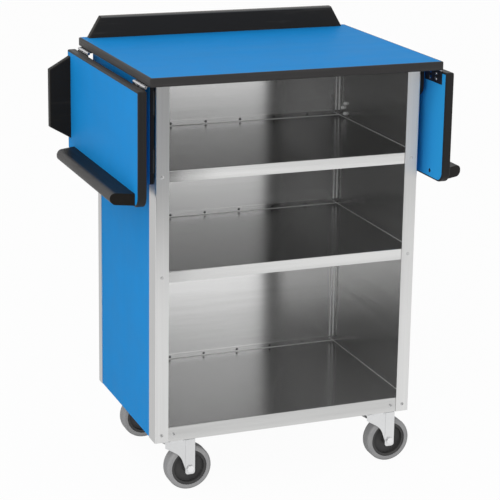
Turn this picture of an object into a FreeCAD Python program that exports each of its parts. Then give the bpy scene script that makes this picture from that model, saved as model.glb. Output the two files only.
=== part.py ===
import FreeCAD, Part
import math
import os
from types import SimpleNamespace

import Sketcher

# Beverage cart: an open-fronted steel cabinet on four swivel casters, with a laminated worktop
# and a drop leaf at each end. +X is to the right, the open front faces -Y, +Z is up, and the
# origin is on the floor under the middle of the cart. All sizes are in millimetres.

# Driving dimensions
SIZES = {
    # Worktop
    "top_height": 935,
    "top_width": 656,
    "top_depth": 514,
    "board_thick": 19,
    "band_thick": 4,
    "band_corner": 4,
    "band_edge": 3,
    # Guard boards on the worktop and the leaves
    "guard_thick": 19,
    "guard_height": 48,
    "guard_slope": 28,
    "guard_rear_inset": 5,
    "guard_end_inset": 18,
    "guard_edge": 2.5,
    # Cabinet shell
    "cabinet_width": 600,
    "cabinet_depth": 412,
    "cabinet_bottom": 131,
    "post_sheet": 1.5,
    "post_face": 30,
    "post_bend": 2.5,
    "front_flange": 40,
    "rear_flange": 25,
    "panel_thick": 3,
    "wall_sheet": 1.2,
    "wall_flange": 22,
    # Shelf pans
    "shelf_sheet": 1.2,
    "top_shelf_height": 729,
    "middle_shelf_height": 512,
    "bottom_shelf_height": 164,
    "shelf_apron": 24.5,
    "shelf_lip": 12,
    "shelf_bend": 2,
    "hem_width": 8.5,
    # Drop leaves
    "leaf_length": 243,
    "leaf_corner": 25,
    "leaf_guard_hinge_inset": 13,
    "leaf_guard_free_inset": 43,
    "handle_reach": 47,
    "handle_thick": 25,
    "handle_nose": 12,
    "handle_slope": 22,
    "handle_edge_inset": 4,
    "handle_near_inset": 20,
    "handle_far_inset": 48,
    # Leaf hinges
    "hinge_gap": 8,
    "pin_drop": 3,
    "hinge_length": 76,
    "hinge_width": 32,
    "hinge_plate": 2,
    "hinge_end_inset": 19,
    "knuckle_radius": 3,
    "pin_radius": 1.55,
    "hinge_screw_row": 11,
    "hinge_screw_pitch": 12,
    "hinge_screw_spread": 26,
    # Leaf supports
    "wing_thick": 9,
    "wing_length": 403,
    "wing_root_height": 206,
    "wing_root_land": 60,
    "wing_tip_height": 52,
    "wing_corner": 25,
    "wing_drop": 7,
    "wing_gap": 2.7,
    "wing_front_inset": 2,
    "wing_axis_inset": 5,
    "wing_axis_stand": 3,
    "wing_hinge_length": 50,
    "wing_hinge_width": 46,
    "wing_hinge_plate": 1.2,
    "wing_knuckle_radius": 2.6,
    "wing_pin_radius": 1.25,
    "wing_hinge_low": 48,
    "wing_hinge_high": 170,
    "wing_bolt_near": 26,
    "wing_bolt_far": 40,
    "wing_bolt_rise": 12,
    # Casters
    "wheel_radius": 51,
    "wheel_width": 32,
    "tyre_thick": 11,
    "tyre_shoulder": 6,
    "rim_thick": 6,
    "rim_width": 28,
    "web_thick": 9,
    "boss_radius": 13,
    "boss_width": 37,
    "axle_radius": 4.95,
    "axle_head": 8,
    "axle_head_thick": 4,
    "caster_side_inset": 60,
    "caster_end_inset": 48,
    "caster_trail": 30,
    "caster_recess": 2,
    "plate_length": 92,
    "plate_width": 60,
    "plate_thick": 3,
    "plate_bolt_length": 74,
    "plate_bolt_width": 44,
    "race_radius": 25,
    "race_depth": 6,
    "swivel_gap": 0.4,
    "crown_top": 5,
    "crown_thick": 3,
    "kingpin_radius": 6,
    "kingpin_head": 9.5,
    "kingpin_head_thick": 3,
    "fork_sheet": 2.5,
    "fork_space": 38,
    "fork_back": 27,
    "fork_shoulder": 11,
    "fork_waist": 8,
    "fork_waist_drop": 32,
    "fork_waist_bend": 40,
    "fork_strap_rise": 1,
    "fork_foot_half": 11,
    "fork_foot_drop": 13,
    "fork_foot_radius": 6,
    "channel_width": 100,
    "channel_sheet": 2,
    # Fasteners and fits
    "running_fit": 0.05,
    "knuckle_gap": 0.3,
    "hole_fit": 0.15,
    "rivet_head": 3,
    "rivet_rise": 1.3,
    "rivet_shank": 1.5,
    "rivet_pitch": 85,
    "rivet_height": 5.5,
    "screw_head": 4,
    "screw_rise": 1.6,
    "screw_shank": 2,
    "screw_length": 14,
    "screw_tail": 1.3,
    "flush_rise": 0.6,
    "apron_screw_inset": 13,
    "top_screw_spread": 150,
    "guard_screw_spread": 200,
    "guard_screw_depth": 18,
    "leaf_guard_screw_inset": 55,
    "handle_bolt_inset": 40,
    "handle_bolt_depth": 30,
    "handle_bolt_head": 4.5,
    "wing_bolt_radius": 2.5,
    "dome_nut_radius": 4.5,
    "dome_nut_rise": 7,
    "wing_screw_depth": 6,
    "caster_bolt_radius": 4,
    "caster_bolt_head": 7,
    "caster_bolt_rise": 4,
}

KNUCKLES = 5
RIVETS = 6

doc = FreeCAD.newDocument("beverage_cart")
sheet = doc.addObject("Spreadsheet::Sheet", "Dims")
for row, (alias, value) in enumerate(SIZES.items(), start=1):
    sheet.set(f"A{row}", alias.replace("_", " "))
    sheet.set(f"B{row}", str(value))
    sheet.setAlias(f"B{row}", alias)
doc.recompute()


class Size:
    """A length that is known both as a number and as a formula on the sheet."""

    def __init__(self, value, formula):
        self.value = value
        self.formula = formula

    @staticmethod
    def of(thing):
        if isinstance(thing, Size):
            return thing
        return Size(float(thing), repr(float(thing)))

    def __add__(self, other):
        other = Size.of(other)
        return Size(self.value + other.value, f"({self.formula} + {other.formula})")

    def __sub__(self, other):
        other = Size.of(other)
        return Size(self.value - other.value, f"({self.formula} - {other.formula})")

    def __mul__(self, factor):
        return Size(self.value * factor, f"({self.formula} * ({float(factor)}))")

    def __truediv__(self, divisor):
        return Size(self.value / divisor, f"({self.formula} / {float(divisor)})")

    def __neg__(self):
        return self * -1

    def __float__(self):
        return float(self.value)


d = SimpleNamespace(**{alias: Size(float(sheet.get(alias)), f"Dims.{alias}") for alias in SIZES})
ZERO = Size.of(0)

# Levels and faces that several pieces share
underside = d.top_height - d.board_thick
shell_height = underside - d.cabinet_bottom
top_half_width = d.top_width / 2
top_half_depth = d.top_depth / 2
half_width = d.cabinet_width / 2
half_depth = d.cabinet_depth / 2
panel_face = half_width - d.post_sheet
wall_face = panel_face - d.panel_thick
clear_half_width = wall_face - d.wall_sheet
shell_half_depth = half_depth - d.post_sheet
back_face = shell_half_depth - d.panel_thick
clear_rear = back_face - d.wall_sheet
pin_level = underside - d.pin_drop
pin_reach = top_half_width + d.hinge_gap / 2
leaf_top = pin_level - d.hinge_gap / 2
leaf_bottom = leaf_top - d.leaf_length
leaf_inner = pin_reach + d.pin_drop
leaf_outer = leaf_inner + d.board_thick
wing_top = underside - d.wing_drop
wing_bottom = wing_top - d.wing_root_height
wing_inner = half_width + d.wing_gap
wing_axis_x = half_width + d.wing_axis_stand
wing_axis_y = half_depth - d.wing_axis_inset
plate_top = d.cabinet_bottom + d.caster_recess
plate_bottom = plate_top - d.plate_thick
race_bottom = plate_bottom - d.race_depth
crown_upper = race_bottom - d.swivel_gap
crown_lower = crown_upper - d.crown_top - d.crown_thick
fork_half = d.fork_space / 2 + d.fork_sheet
caster_x = half_width - d.caster_side_inset
caster_y = half_depth - d.caster_end_inset

SIDES = {"left": False, "right": True}
# A direction runs along an axis if its part on that axis is over ALONG, and a point is
# off a face if it is more than NEAR from it
ALONG = 0.5
NEAR = 0.5
nodes = {}


def keep(label, thing):
    thing.Label = label
    nodes[label] = thing
    return thing


def vector(x, y, z):
    return FreeCAD.Vector(float(x), float(y), float(z))


def bind(thing, **sizes):
    for name, size in sizes.items():
        thing.setExpression(name, Size.of(size).formula)


def place(thing, x, y, z, turned=False):
    """Put a piece at a point, or at the point opposite it and turned half round the cart's middle."""
    x, y, z = Size.of(x), Size.of(y), Size.of(z)
    if turned:
        thing.Placement = FreeCAD.Placement(vector(0, 0, 0), FreeCAD.Rotation(vector(0, 0, 1), 180))
        x, y = -x, -y
    thing.setExpression("Placement.Base.x", x.formula)
    thing.setExpression("Placement.Base.y", y.formula)
    thing.setExpression("Placement.Base.z", z.formula)


# Sketched pieces


def corner_step(start, end):
    """Unit step along an edge that runs parallel to one of the sketch's axes."""
    dx, dy = float(end[0]) - float(start[0]), float(end[1]) - float(start[1])
    length = math.hypot(dx, dy)
    return round(dx / length), round(dy / length)


def add_loop(sketch, corners):
    """Draw one closed outline. A corner is (x, y), or (x, y, radius) between edges along the axes."""
    area = sum(float(a[0]) * float(b[1]) - float(b[0]) * float(a[1])
               for a, b in zip(corners, corners[1:] + corners[:1]))
    if area < 0:
        corners = corners[::-1]
    ends = []
    for i, corner in enumerate(corners):
        x, y = Size.of(corner[0]), Size.of(corner[1])
        if len(corner) == 2:
            ends.append(((x, y), (x, y), None))
            continue
        radius = corner[2]
        came = corner_step(corners[i - 1], corner)
        goes = corner_step(corner, corners[(i + 1) % len(corners)])
        before = (x - radius * came[0], y - radius * came[1])
        after = (x + radius * goes[0], y + radius * goes[1])
        ends.append((before, after, (radius, goes)))
    pieces = []
    for i, (before, after, arc) in enumerate(ends):
        if arc:
            radius, goes = arc
            centre = vector(before[0] + radius * goes[0], before[1] + radius * goes[1], 0)
            first = math.atan2(float(before[1]) - centre.y, float(before[0]) - centre.x)
            circle = Part.Circle(centre, vector(0, 0, 1), float(radius))
            line = Part.ArcOfCircle(circle, first, first + math.pi / 2)
            pieces.append((sketch.addGeometry(line, False), before, radius))
        following = ends[(i + 1) % len(ends)][0]
        line = Part.LineSegment(vector(*after, 0), vector(*following, 0))
        pieces.append((sketch.addGeometry(line, False), after, None))
    for i, (index, start, radius) in enumerate(pieces):
        after = pieces[(i + 1) % len(pieces)][0]
        sketch.addConstraint(Sketcher.Constraint("Coincident", index, 2, after, 1))
    for index, start, radius in pieces:
        for kind, size in zip(("DistanceX", "DistanceY"), start):
            rule = sketch.addConstraint(Sketcher.Constraint(kind, -1, 1, index, 1, float(size)))
            sketch.setExpression(f"Constraints[{rule}]", size.formula)
        if radius is not None:
            rule = sketch.addConstraint(Sketcher.Constraint("Radius", index, float(radius)))
            sketch.setExpression(f"Constraints[{rule}]", radius.formula)


def add_sketch(body, plane, *loops):
    sketch = body.newObject("Sketcher::SketchObject", "Outline")
    support = next(feature for feature in body.Origin.OriginFeatures if feature.Role == plane)
    sketch.AttachmentSupport = [(support, "")]
    sketch.MapMode = "FlatFace"
    for loop in loops:
        add_loop(sketch, loop)
    return sketch


def add_pad(body, plane, depth, *loops, downward=False):
    """Raise outlines off one of the body's own planes: XY goes up, XZ goes to -Y, YZ goes to +X."""
    pad = body.newObject("PartDesign::Pad", "Pad")
    pad.Profile = add_sketch(body, plane, *loops)
    pad.Reversed = downward
    bind(pad, Length=depth)
    return pad


def add_body(label):
    return doc.addObject("PartDesign::Body", label)


def round_edges(body, radius, wanted):
    """Round each edge of the body for which wanted(middle, direction) holds."""
    doc.recompute()
    solid = body.Tip
    names = []
    for i, edge in enumerate(solid.Shape.Edges, start=1):
        halfway = (edge.FirstParameter + edge.LastParameter) / 2
        if wanted(edge.valueAt(halfway), edge.tangentAt(halfway)):
            names.append(f"Edge{i}")
    fillet = body.newObject("PartDesign::Fillet", "Rounding")
    fillet.Base = (solid, names)
    bind(fillet, Radius=radius)


def add_box(label, length, width, height):
    box = doc.addObject("Part::Box", label)
    bind(box, Length=length, Width=width, Height=height)
    return box


def add_cylinder(label, radius, height):
    cylinder = doc.addObject("Part::Cylinder", label)
    bind(cylinder, Radius=radius, Height=height)
    return cylinder


def rod(radius, length, start=(0, 0, 0), direction=(0, 0, 1)):
    return Part.makeCylinder(float(radius), float(length), vector(*start), vector(*direction))


def against(direction):
    return tuple(-part for part in direction)


def add_cut(label, base, tool):
    cut = doc.addObject("Part::Cut", label)
    cut.Base = base
    cut.Tool = tool
    return cut


# Fasteners and drilled holes, placed by lists of (point, direction)


def at(point, direction):
    return FreeCAD.Placement(vector(*point), FreeCAD.Rotation(vector(0, 0, 1), vector(*direction)))


def solid_group(label, shapes):
    """One node that holds several separate solids."""
    group = doc.addObject("Part::Feature", label)
    group.Shape = Part.makeCompound(shapes)
    return keep(label, group)


def domed(head, rise, shank, length):
    """A round-headed fastener: the head's seat is at z = 0 and the shank runs down."""
    head, rise, shank, length = float(head), float(rise), float(shank), float(length)
    sphere = (head ** 2 + rise ** 2) / (2 * rise)
    lean = math.asin(head / sphere) / 2
    crown = vector(sphere * math.sin(lean), 0, rise - sphere + sphere * math.cos(lean))
    foot, waist = vector(0, 0, -length), vector(shank, 0, -length)
    neck, brim, peak = vector(shank, 0, 0), vector(head, 0, 0), vector(0, 0, rise)
    edges = [Part.LineSegment(foot, waist).toShape(), Part.LineSegment(waist, neck).toShape(),
             Part.LineSegment(neck, brim).toShape(), Part.Arc(brim, crown, peak).toShape(),
             Part.LineSegment(peak, foot).toShape()]
    return Part.Face(Part.Wire(edges)).revolve(vector(0, 0, 0), vector(0, 0, 1), 360)


def repeated(shape, spots):
    copies = []
    for point, direction in spots:
        copy = shape.copy()
        copy.Placement = at(point, direction)
        copies.append(copy)
    return copies


def drilled(label, base, *drillings):
    """Take holes out of a piece. A drilling is (spots, radius, depth) and bores against each direction."""
    cylinders = []
    for spots, radius, depth in drillings:
        for point, direction in spots:
            start = vector(*point) + vector(*direction) * float(radius)
            cylinders.append(rod(radius, depth + radius, start, against(direction)))
    holes = doc.addObject("Part::Feature", label + "_holes")
    holes.Shape = Part.makeCompound(cylinders)
    return keep(label, add_cut(label + "_drilled", base, holes))


def turned_spots(spots):
    return [((-Size.of(x), -Size.of(y), z), (-dx, -dy, dz)) for (x, y, z), (dx, dy, dz) in spots]


def side_spots(spots, turned):
    return turned_spots(spots) if turned else spots


def mirrored_spots(spots):
    return [((-Size.of(x), y, z), (-dx, dy, dz)) for (x, y, z), (dx, dy, dz) in spots]


# Places of the fasteners
front = (0, -1, 0)
rear = (0, 1, 0)
down = (0, 0, -1)
inward = (1, 0, 0)
rivet_hole = d.rivet_shank + d.hole_fit
screw_hole = d.screw_shank + d.hole_fit
shelf_levels = {"top": d.top_shelf_height, "middle": d.middle_shelf_height, "bottom": d.bottom_shelf_height}
aprons = {"top": d.shelf_apron, "middle": d.shelf_apron, "bottom": d.bottom_shelf_height - d.cabinet_bottom}
post_x = half_width - d.post_face / 2
apron_x = half_width - d.post_face - d.apron_screw_inset

rivet_spots = {}
post_levels = []
for shelf, level in shelf_levels.items():
    columns = [d.rivet_pitch * (i - (RIVETS - 1) / 2) for i in range(RIVETS)]
    rivet_spots[shelf] = [((x, clear_rear - d.shelf_sheet, level + d.rivet_height), front) for x in columns]
    post_levels.append(level - aprons[shelf] / 2)


def post_spots(face, direction, levels):
    return [((x, face, z), direction) for x in (-post_x, post_x) for z in levels]


front_spots = post_spots(-half_depth, front, post_levels)
rear_spots = post_spots(half_depth, rear, post_levels)
bottom_apron_level = post_levels[-1]
bottom_apron_spots = [((x, -shell_half_depth, bottom_apron_level), front) for x in (-apron_x, apron_x)]
apron_screw_length = d.shelf_sheet + d.screw_tail
front_screw_length = d.post_sheet + apron_screw_length
rear_screw_length = front_screw_length + d.panel_thick + d.wall_sheet

flange_x = clear_half_width - d.wall_flange / 2
flange_level = underside - d.wall_sheet
top_rows = (-d.top_screw_spread, ZERO, d.top_screw_spread)
top_spots = [((x, y, flange_level), down) for x in (-flange_x, flange_x) for y in top_rows]
guard_y = top_half_depth - d.guard_rear_inset - d.guard_thick / 2
guard_rows = (-d.guard_screw_spread, ZERO, d.guard_screw_spread)
guard_spots = [((x, guard_y, underside), down) for x in guard_rows]

hinge_y = top_half_depth - d.hinge_end_inset - d.hinge_length / 2
hinge_rows = [hinge_y * side + d.hinge_screw_spread * (step / 2) for side in (-1, 1) for step in (-1, 1)]
hinge_steps = [d.hinge_screw_row, d.hinge_screw_row + d.hinge_screw_pitch]
fixed_screw_level = underside - d.hinge_plate
left_fixed_spots = [((step - pin_reach, y, fixed_screw_level), down)
                    for y in hinge_rows for step in hinge_steps]
fixed_hinge_spots = left_fixed_spots + turned_spots(left_fixed_spots)
leaf_screw_x = d.hinge_plate - leaf_inner
leaf_hinge_spots = [((leaf_screw_x, y, pin_level - step), inward)
                    for y in hinge_rows for step in hinge_steps]
handle_level = leaf_bottom + d.handle_edge_inset + d.handle_thick / 2
handle_ends = (d.handle_near_inset + d.handle_bolt_inset - top_half_depth,
               (d.handle_near_inset - d.handle_far_inset) / 2,
               top_half_depth - d.handle_far_inset - d.handle_bolt_inset)
handle_spots = [((-leaf_inner, y, handle_level), inward) for y in handle_ends]
leaf_guard_levels = (leaf_top - d.leaf_guard_hinge_inset - d.leaf_guard_screw_inset,
                     leaf_bottom + d.leaf_guard_free_inset + d.leaf_guard_screw_inset)
leaf_guard_spots = [((-leaf_inner, guard_y, z), inward) for z in leaf_guard_levels]

wing_hinge_levels = (wing_bottom + d.wing_hinge_low, wing_bottom + d.wing_hinge_high)
wing_steps = ((d.wing_bolt_far, d.wing_bolt_rise), (d.wing_bolt_near, ZERO),
              (d.wing_bolt_far, -d.wing_bolt_rise))
wing_bolt_spots = [((-clear_half_width, step - wing_axis_y, z + rise), inward)
                   for z in wing_hinge_levels for step, rise in wing_steps]
wing_plate_face = wing_inner - d.wing_hinge_plate
wing_screw_spots = [((-wing_plate_face, step - wing_axis_y, z + rise), inward)
                    for z in wing_hinge_levels for step, rise in wing_steps]
wing_bolt_hole = d.wing_bolt_radius + d.hole_fit
wing_bolt_reach = half_width + d.wing_hinge_plate - clear_half_width

caster_places = {"front_left": (-caster_x, -caster_y), "front_right": (caster_x, -caster_y),
                 "rear_left": (-caster_x, caster_y), "rear_right": (caster_x, caster_y)}
bolt_x, bolt_y = d.plate_bolt_length / 2, d.plate_bolt_width / 2
caster_bolt_spots = [((x + bolt_x * i, y + bolt_y * j, plate_bottom), down)
                     for x, y in caster_places.values() for i in (-1, 1) for j in (-1, 1)]
caster_bolt_hole = d.caster_bolt_radius + d.hole_fit

# Corner posts: folded angles that wrap the cabinet's upright corners
for label, side_x, side_y, flange in (("front_left_post", -1, -1, d.front_flange),
                                      ("front_right_post", 1, -1, d.front_flange),
                                      ("rear_left_post", -1, 1, d.rear_flange),
                                      ("rear_right_post", 1, 1, d.rear_flange)):
    body = add_body(label + "_fold")
    face, sheet_x, sheet_y = d.post_face * -side_x, d.post_sheet * -side_x, d.post_sheet * -side_y
    flange = flange * -side_y
    add_pad(body, "XY_Plane", shell_height,
            [(ZERO, ZERO, d.post_bend), (face, ZERO), (face, sheet_y), (sheet_x, sheet_y),
             (sheet_x, flange), (ZERO, flange)])
    place(body, half_width * side_x, half_depth * side_y, d.cabinet_bottom)
    spots = front_spots if side_y < 0 else rear_spots
    bolts = wing_bolt_spots + turned_spots(wing_bolt_spots)
    drilled(label, body, (spots, screw_hole, d.post_sheet), (bolts, wing_bolt_hole, wing_bolt_reach))

# Side walls, side panels, rear panel and a back wall hemmed along both ends of each bay
for side, turned in SIDES.items():
    body = add_body(side + "_wall_fold")
    flange_end = d.wall_sheet + d.wall_flange
    add_pad(body, "XZ_Plane", shell_half_depth * 2,
            [(ZERO, ZERO), (d.wall_sheet, ZERO), (d.wall_sheet, shell_height - d.wall_sheet),
             (flange_end, shell_height - d.wall_sheet), (flange_end, shell_height), (ZERO, shell_height)])
    place(body, -wall_face, shell_half_depth, d.cabinet_bottom, turned)
    bolts = side_spots(wing_bolt_spots, turned)
    wall_drill = (bolts, wing_bolt_hole, wing_bolt_reach)
    drilled(side + "_wall", body, wall_drill, (top_spots, screw_hole, d.wall_sheet + d.hole_fit))
    panel = add_box(side + "_panel_sheet", d.panel_thick, shell_half_depth * 2, shell_height)
    place(panel, panel_face - d.panel_thick if turned else -panel_face, -shell_half_depth, d.cabinet_bottom)
    drilled(side + "_panel", panel, wall_drill)

back_height = shell_height - d.wall_sheet
back_sheet = add_box("back_wall_sheet", clear_half_width * 2, d.wall_sheet, back_height)
place(back_sheet, -clear_half_width, clear_rear, d.cabinet_bottom)
bay_tops = {"top": flange_level, "middle": d.top_shelf_height - d.shelf_apron,
            "bottom": d.middle_shelf_height - d.shelf_apron}
folds = [back_sheet]
for shelf, bay_top in bay_tops.items():
    hem_low = shelf_levels[shelf] + d.shelf_lip
    for x in (-clear_half_width, clear_half_width - d.hem_width):
        hem = add_box("back_wall_hem", d.hem_width, d.wall_sheet, bay_top - hem_low)
        place(hem, x, clear_rear - d.wall_sheet, hem_low)
        folds.append(hem)
back_wall = doc.addObject("Part::MultiFuse", "back_wall_folded")
back_wall.Shapes = folds
back_wall.Refine = True
rivet_reach = d.shelf_sheet + d.wall_sheet
drilled("back_wall", back_wall, (rear_spots, screw_hole, rear_screw_length),
        *((spots, rivet_hole, rivet_reach) for spots in rivet_spots.values()))
rear_panel = add_box("rear_panel_sheet", clear_half_width * 2, d.panel_thick, back_height)
place(rear_panel, -clear_half_width, back_face, d.cabinet_bottom)
drilled("rear_panel", rear_panel, (rear_spots, screw_hole, rear_screw_length))

# Shelf pans: a deck with sides turned down all round and a lip turned up against the back wall
for shelf, level in shelf_levels.items():
    body = add_body(shelf + "_shelf_fold")
    fold = d.shelf_sheet
    inner_half, inner_rear = clear_half_width - fold, clear_rear - fold
    pan = [(-clear_half_width, -shell_half_depth), (clear_half_width, -shell_half_depth),
           (clear_half_width, clear_rear), (-clear_half_width, clear_rear)]
    inside = [(-inner_half, fold - shell_half_depth), (inner_half, fold - shell_half_depth),
              (inner_half, inner_rear), (-inner_half, inner_rear)]
    lip = [(-clear_half_width, inner_rear), (clear_half_width, inner_rear),
           (clear_half_width, clear_rear), (-clear_half_width, clear_rear)]
    add_pad(body, "XY_Plane", fold, pan, downward=True)
    add_pad(body, "XY_Plane", aprons[shelf], pan, inside, downward=True)
    add_pad(body, "XY_Plane", d.shelf_lip, lip)
    round_edges(body, d.shelf_bend, lambda p, along: (
        abs(along.x) > ALONG and abs(p.z) < NEAR and p.y < NEAR - float(shell_half_depth)))
    place(body, ZERO, ZERO, level)
    cuts = [(rivet_spots[shelf], rivet_hole, rivet_reach), (front_spots, screw_hole, front_screw_length),
            (rear_spots, screw_hole, rear_screw_length)]
    if shelf == "bottom":
        cuts.append((bottom_apron_spots, screw_hole, apron_screw_length))
    drilled(shelf + "_shelf", body, *cuts)

# Worktop: a board inside a black band, with a guard board along the rear
board_half_width = top_half_width - d.band_thick
board_half_depth = top_half_depth - d.band_thick
board = add_box("worktop_blank", board_half_width * 2, board_half_depth * 2, d.board_thick)
place(board, -board_half_width, -board_half_depth, underside)
drilled("worktop_board", board, (top_spots + fixed_hinge_spots, screw_hole, d.screw_length),
        (guard_spots, screw_hole, d.board_thick))


def mirrored_loop(half_x, half_y, radius=None):
    corners = [(-half_x, -half_y), (half_x, -half_y), (half_x, half_y), (-half_x, half_y)]
    return [corner + (radius,) for corner in corners] if radius else corners


band = add_body("worktop_edge_band")
add_pad(band, "XY_Plane", d.board_thick, mirrored_loop(top_half_width, top_half_depth, d.band_corner),
        mirrored_loop(board_half_width, board_half_depth))
round_edges(band, d.band_edge, lambda p, along: abs(along.z) < ALONG and (
    abs(p.x) > float(board_half_width) + float(d.band_edge) / 2
    or abs(p.y) > float(board_half_depth) + float(d.band_edge) / 2))
place(band, ZERO, ZERO, underside)
keep("worktop_edge_band", band)

guard = add_body("rear_guard_board")
guard_half = top_half_width - d.guard_end_inset
add_pad(guard, "XZ_Plane", d.guard_thick,
        [(-guard_half, ZERO), (guard_half, ZERO), (guard_half - d.guard_slope, d.guard_height),
         (d.guard_slope - guard_half, d.guard_height)])
round_edges(guard, d.guard_edge, lambda p, along: abs(along.y) < ALONG and p.z > NEAR)
place(guard, ZERO, top_half_depth - d.guard_rear_inset, d.top_height)
drilled("rear_guard", guard, (guard_spots, screw_hole, d.board_thick + d.guard_screw_depth))

# Leaf hinges: plates with interlocking knuckles on a pin


def hinge_half(length, width, plate, face, knuckle, bore, odd):
    """Half a hinge with its pin along Y at the origin and its plate towards +X, under the height face."""
    length, width, plate, face = float(length), float(width), float(plate), float(face)
    knuckle, bore, gap = float(knuckle), float(bore), float(d.knuckle_gap)
    start = knuckle + gap
    shape = Part.makeBox(width - start, length, plate, vector(start, -length / 2, face - plate))
    step = length / KNUCKLES
    for i in range(KNUCKLES):
        if (i % 2 == 1) != odd:
            continue
        low = -length / 2 + i * step + (gap / 2 if i > 0 else 0)
        long = step - (gap / 2 if i > 0 else 0) - (gap / 2 if i < KNUCKLES - 1 else 0)
        shape = shape.fuse(rod(knuckle, long, (0, low, 0), rear))
        shape = shape.fuse(Part.makeBox(start, long, plate, vector(0, low, face - plate)))
    return shape.cut(rod(bore, length + gap, (0, -length / 2 - gap / 2, 0), rear)).removeSplitter()


def bored(shape, spots, radius, depth):
    for point, direction in spots:
        start = vector(*point) + vector(*direction) * float(radius)
        shape = shape.cut(rod(radius, depth + radius * 2, start, against(direction)))
    return shape


def posed(shape, spot, *turns):
    """A copy of a shape, turned about its own axes in order and moved to a point."""
    copy = shape.copy()
    for axis, angle in turns:
        copy.rotate(vector(0, 0, 0), vector(*axis), angle)
    copy.translate(vector(*spot))
    return copy


about_x, about_y, about_z = (1, 0, 0), (0, 1, 0), (0, 0, 1)
half_turn, quarter_turn = 180, 90
leaf_bore = d.pin_radius + d.running_fit
fixed_half, moving_half = (hinge_half(d.hinge_length, d.hinge_width, d.hinge_plate, d.pin_drop,
                                      d.knuckle_radius, leaf_bore, odd) for odd in (False, True))
leaf_pins = [(pin_reach * side, hinge_y * end, pin_level) for side in (-1, 1) for end in (-1, 1)]
fixed_plates = []
for spot in leaf_pins:
    turns = [(about_z, half_turn)] if float(spot[0]) > 0 else []
    fixed_plates.append(bored(posed(fixed_half, spot, *turns), fixed_hinge_spots, screw_hole, d.hinge_plate))
pin_shapes = [rod(d.pin_radius, d.hinge_length, (x, y - d.hinge_length / 2, z), rear)
              for x, y, z in leaf_pins]

# Wing hinges: the pin stands upright at the post, one plate on the cabinet and one on the wing
wing_bore = d.wing_pin_radius + d.running_fit
wing_face = d.wing_axis_stand - d.wing_gap + d.wing_hinge_plate
wing_wall_half = hinge_half(d.wing_hinge_length, d.wing_hinge_width, d.wing_hinge_plate, d.wing_axis_stand,
                            d.wing_knuckle_radius, wing_bore, False)
wing_board_half = hinge_half(d.wing_hinge_length, d.wing_hinge_width, d.wing_hinge_plate, wing_face,
                             d.wing_knuckle_radius, wing_bore, True)
upright = ((about_x, quarter_turn), (about_z, quarter_turn))
wing_pins = [(-wing_axis_x, -wing_axis_y, z) for z in wing_hinge_levels]
for turned in SIDES.values():
    for x, y, z in wing_pins:
        plate = posed(wing_wall_half, (x, y, z), *upright)
        plate = bored(plate, wing_bolt_spots, wing_bolt_hole, wing_bolt_reach)
        pin = rod(d.wing_pin_radius, d.wing_hinge_length, (x, y, z - d.wing_hinge_length / 2))
        for shape in (plate, pin):
            if turned:
                shape.rotate(vector(0, 0, 0), vector(*about_z), half_turn)
        fixed_plates.append(plate)
        pin_shapes.append(pin)
solid_group("hinge_fixed_plates", fixed_plates)
solid_group("hinge_pins", pin_shapes)

# Drop leaves, hanging: the right one is the left one turned half round, but both guards are at the rear
# and both handles stop short of them
flat_screw = domed(d.screw_head, d.screw_rise, d.screw_shank, d.screw_length)
handle_bolt = domed(d.handle_bolt_head, d.screw_rise, d.screw_shank, d.handle_bolt_depth)
guard_screw_length = d.board_thick + d.guard_screw_depth
guard_screw = domed(d.screw_head, d.screw_rise, d.screw_shank, guard_screw_length)


def leaf_loop(inset, hinge_corner=None):
    low, high = inset - d.leaf_length, -inset
    half = top_half_depth - inset
    free_corner = d.leaf_corner - inset
    loop = [(-half, low, free_corner), (half, low, free_corner), (half, high), (-half, high)]
    return loop[:2] + [corner + (hinge_corner,) for corner in loop[2:]] if hinge_corner else loop


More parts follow.
